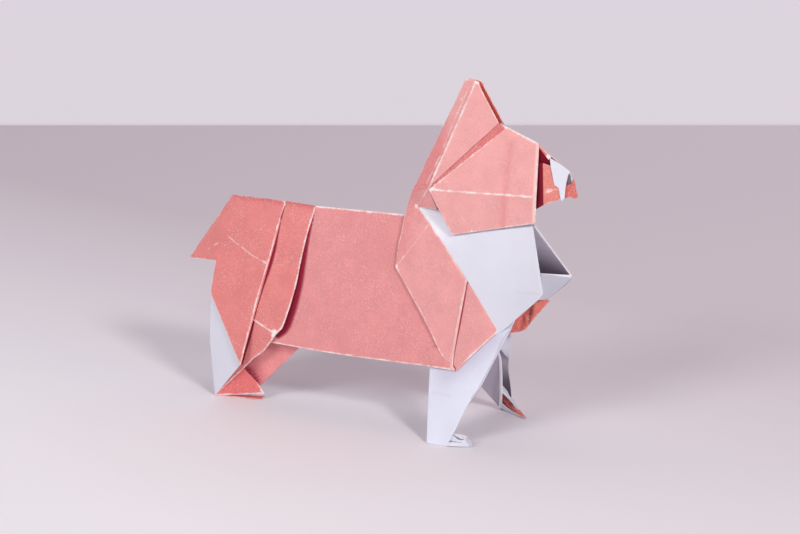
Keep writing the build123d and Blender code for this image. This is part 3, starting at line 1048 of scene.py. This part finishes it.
for move, out in ((same, RIGHT), (far_cheek, LEFT)):
    head.panel(cheek_sides, LIGHT, WHITE, move=move, out=out, **cheek_looks)
    head.panel(jaw_sides, LIGHT, WHITE, move=move, out=out, **jaw_looks)
    head.panel(front_strip, HEM, WHITE, move=move, out=out, thick=0.34, step=0.3, fleck=0.5)
head.both([(ridge_low, 0), (throat, 0.3), (collar_top, 0)], COLLAR, WHITE, thick=THIN)
pieces.append(head)

# Muzzle and nose
muzzle = Piece("muzzle")
side_top, side_low = (38.0, -0.5, 54.9), (38.9, -2.0, 47.35)
turn_top, turn_low = (36.4, 0.1, 54.9), (36.6, -0.6, 46.0)
muzzle_sides = [
    (side_top, 0.4),
    ((39.4, -0.4, 54.5), 0),
    ((43.0, -0.3, 53.1), 0),
    ((42.4, -1.1, 48.8), 0.2),
    ((41.9, -1.3, 48.6), 0.2),
    (side_low, 0),
]
muzzle_creases = [
    ([(38.7, -1.5, 49.5), (41.4, -1.0, 50.3)], 0.6, 0.05),
    ([(38.6, -1.5, 50.0), (41.3, -1.0, 50.7)], 0.2, 0.05),
]
muzzle.panel(muzzle_sides, MUZZLE, ROSE, thick=THIN, step=0.3, creases=muzzle_creases)
# A dark sheet painted as the shadow that the cheek's front edge casts on the muzzle
cheek_shadow_band = unworn(side_top, side_low, turn_low, turn_top)
muzzle.panel(cheek_shadow_band, DEEP_SHADE, DEEP_SHADE, thick=THIN, step=0.3, out=(1, -1, 0), fleck=0.0)
far_sides = [
    ((36.8, 0.05, 58.2), 0.2),
    (muzzle_top, 0.6),
    (muzzle_tip, 0),
    ((42.4, 1.1, 48.8), 0),
    ((38.9, 1.6, 47.4), 0),
    ((35.4, 1.4, 47.0), 0),
    ((35.6, 0.7, 56.0), 0),
]
# Its inner face is painted as deep shade
muzzle.panel(far_sides, ROSE, DEEP_SHADE, thick=THIN, step=0.3, out=LEFT)
bridge = [
    ((36.8, -0.1, 58.4), 0.4),
    ((39.35, -0.1, 56.15), 0),
    ((38.95, -0.1, 55.7), 0),
    ((37.0, -0.1, 57.9), 0),
]
muzzle.panel(bridge, MUZZLE, MUZZLE, thick=THIN, step=0.25, blobs=[((39.3, -0.1, 56.0), 0.8)])
facet = unworn(
    (39.3, -0.15, 55.9), (41.69, -0.15, 54.7), (43.37, -0.15, 53.6), (43.0, -0.3, 53.15),
    (42.76, -0.7, 51.5), (42.74, -0.94, 50.4), (42.76, -1.29, 48.8), (42.41, -1.47, 48.2),
    (42.08, -1.4, 48.8), (41.59, -1.06, 50.6), (40.7, -1.09, 51.1), (39.7, -0.57, 54.4),
)
muzzle.panel(facet, WHITE, WHITE, fleck=0.0, thick=THIN, step=0.25, lift=0.1)
far_edge = unworn((42.9, 0.3, 53.3), (43.3, 0.3, 53.35), (43.75, 0.3, 51.5), (43.3, 0.3, 51.0))
muzzle.panel(far_edge, WHITE, WHITE, fleck=0.0, thick=0.14, step=0.2)
far_shade = unworn((42.5, -0.1, 53.2), (43.3, 0.1, 52.9), (43.5, 0.1, 51.3), (42.6, -0.1, 50.8))
muzzle.panel(far_shade, STEEL, STEEL, fleck=0.0, thick=0.12, step=0.2)
nose = unworn(
    (42.45, -0.5, 50.85), (43.7, -0.3, 51.3), (44.05, 0, 52.2), (44.35, 0, 51.3), (44.4, 0, 50.75),
    (44.9, 0, 49.1), (44.5, -0.2, 48.75), (43.6, -0.5, 49.1), (42.5, -0.7, 48.7),
)
nose_crease = [([(43.8, -0.3, 51.5), (43.4, -0.5, 49.2)], 0, 0.12)]
muzzle.panel(nose, NOSE, ROSE, thick=THIN, step=0.2, creases=nose_crease, wave=0.4)
muzzle.panel(nose, MUZZLE, ROSE, thick=THIN, step=0.25, move=mirrored, out=LEFT)
pieces.append(muzzle)

made = [piece.make(paper) for piece in pieces]
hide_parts("folded_sheet")

# Camera, in metres unless a comment says otherwise
ELEVATION = math.radians(12.5)
AZIMUTH = math.radians(28.0)
CAMERA_DISTANCE = 0.304
LENS, SENSOR = 67.5, 36.0  # millimetres
NEAREST = 0.01  # to the camera that is still shown
AIM = Vector(((7.0 + SHIFT[0]) * TO_METRES, SHIFT[1] * TO_METRES, 0.0315))
back = Vector((
    math.sin(AZIMUTH) * math.cos(ELEVATION), -math.cos(AZIMUTH) * math.cos(ELEVATION), math.sin(ELEVATION),
))

# Table and wall, in metres: distances from below the camera, half widths and heights
TABLE_NEAR, TABLE_FAR = -0.6, 0.781
WALL_FAR = 0.9
HALF_WIDTH = 3
WALL_LOW, WALL_HIGH = -1, 2

# Colours at distances along a slant across the table, painted light and shade: brightest near the camera,
# darker further away and to the right, a little lighter at the far end; and at heights on the wall
TABLE_COLOURS = (
    (0.20, linear(251, 249, 252)),
    (0.33, linear(238, 230, 235)),
    (0.45, linear(225, 213, 219)),
    (1.00, linear(240, 228, 234)),
)
WALL_COLOURS = ((-0.0178, linear(198, 187, 195)), (-0.0128, linear(220, 212, 221)))


def look_along(thing, direction):
    """Turns a camera or a lamp to look along a direction."""
    thing.rotation_mode = "QUATERNION"
    thing.rotation_quaternion = direction.to_track_quat("-Z", "Y")


def graded_material(name, axis, stops, glow=0.0):
    """Matt colour, or with glow a glow as painted light, that changes along an axis through (metres from
    the origin, colour) stops.
    """
    nodes = Nodes(name)
    place = nodes.node("ShaderNodeNewGeometry").outputs["Position"]
    along = nodes.node("ShaderNodeVectorMath", operation="DOT_PRODUCT")
    nodes.put(along.inputs[0], place)
    nodes.put(along.inputs[1], axis)
    low, high = stops[0][0], stops[-1][0]
    share = nodes.node("ShaderNodeMapRange")
    for socket, value in (("Value", along.outputs["Value"]), ("From Min", low), ("From Max", high)):
        nodes.put(share.inputs[socket], value)
    grade = nodes.node("ShaderNodeValToRGB")
    while len(grade.color_ramp.elements) < len(stops):
        grade.color_ramp.elements.new(0.5)
    for element, (position, colour) in zip(grade.color_ramp.elements, stops):
        element.position = (position - low) / (high - low)
        element.color = (*colour, 1)
    nodes.put(grade.inputs[0], share.outputs["Result"])
    if glow:
        nodes.put(nodes.shader.inputs["Base Color"], (0, 0, 0, 1))
        nodes.put(nodes.shader.inputs["Emission Strength"], glow)
    nodes.put(nodes.shader.inputs["Emission Color" if glow else "Base Color"], grade.outputs[0])
    nodes.put(nodes.shader.inputs["Roughness"], 0.7)
    nodes.put(nodes.shader.inputs["Specular IOR Level"], 0.1)
    return nodes.material


def rectangle(name, corners, material):
    """A flat piece of the stage."""
    mesh = bpy.data.meshes.new(name)
    mesh.from_pydata([tuple(q) for q in corners], [], [(0, 1, 2, 3)])
    mesh.materials.append(material)
    return bpy.data.objects.new(name, mesh)


camera_data = bpy.data.cameras.new("camera")
camera_data.lens = LENS
camera_data.sensor_width = SENSOR
camera_data.clip_start = NEAREST
camera = bpy.data.objects.new("camera", camera_data)
camera.location = AIM + back * CAMERA_DISTANCE
look_along(camera, -back)
bpy.context.scene.collection.objects.link(camera)
bpy.context.scene.camera = camera

away = Vector((-back.x, -back.y, 0)).normalized()
across = Vector((away.y, -away.x, 0))
base = Vector((camera.location.x, camera.location.y, 0))


def stage_corner(far, side, z):
    """A point so far from below the camera, on its left (-1) or right (1), at height z."""
    return base + away * far + across * side * HALF_WIDTH + Vector((0, 0, z))


slope = away + across
table_stops = [(base.dot(slope) + far, colour) for far, colour in TABLE_COLOURS]
table_sides = ((TABLE_NEAR, -1), (TABLE_NEAR, 1), (TABLE_FAR, 1), (TABLE_FAR, -1))
wall_sides = ((-1, WALL_LOW), (1, WALL_LOW), (1, WALL_HIGH), (-1, WALL_HIGH))
table_top = graded_material("table_top", slope, table_stops)
# The wall glows instead of being lit by the lamps: its brightness is painted light
wall_glow = graded_material("wall", (0, 0, 1), WALL_COLOURS, glow=1.0)
floor = rectangle("floor", [stage_corner(far, side, 0) for far, side in table_sides], table_top)
wall = rectangle("wall", [stage_corner(WALL_FAR, side, z) for side, z in wall_sides], wall_glow)
for thing in (floor, wall):
    bpy.context.scene.collection.objects.link(thing)

# Light
SKY_COLOUR = (0.93, 0.92, 1.0, 1)
SKY_STRENGTH = 0.23
LAMP_COLOUR = (1.0, 0.98, 0.97)
LAMP_AIM = Vector((0, 0, 0.03))

world = bpy.data.worlds.new("soft_light")
world.use_nodes = True
sky = world.node_tree.nodes["Background"].inputs
sky["Color"].default_value = SKY_COLOUR
sky["Strength"].default_value = SKY_STRENGTH
bpy.context.scene.world = world


def area_light(name, place, size, energy):
    """A square lamp, its place and size in metres and its energy in watts."""
    data = bpy.data.lights.new(name, "AREA")
    data.shape = "RECTANGLE"
    data.size, data.size_y = size, size
    data.energy = energy
    data.color = LAMP_COLOUR
    light = bpy.data.objects.new(name, data)
    light.location = place
    look_along(light, LAMP_AIM - Vector(place))
    bpy.context.scene.collection.objects.link(light)


area_light("right", (0.74, -0.47, 0.56), 0.17, 4.3)
area_light("left", (-0.22, -0.93, 0.62), 0.4, 4.4)
area_light("above", (0.0, 0.1, 1.1), 1.2, 0.45)

settings = bpy.context.scene.view_settings
settings.view_transform = "Standard"
settings.look = "None"
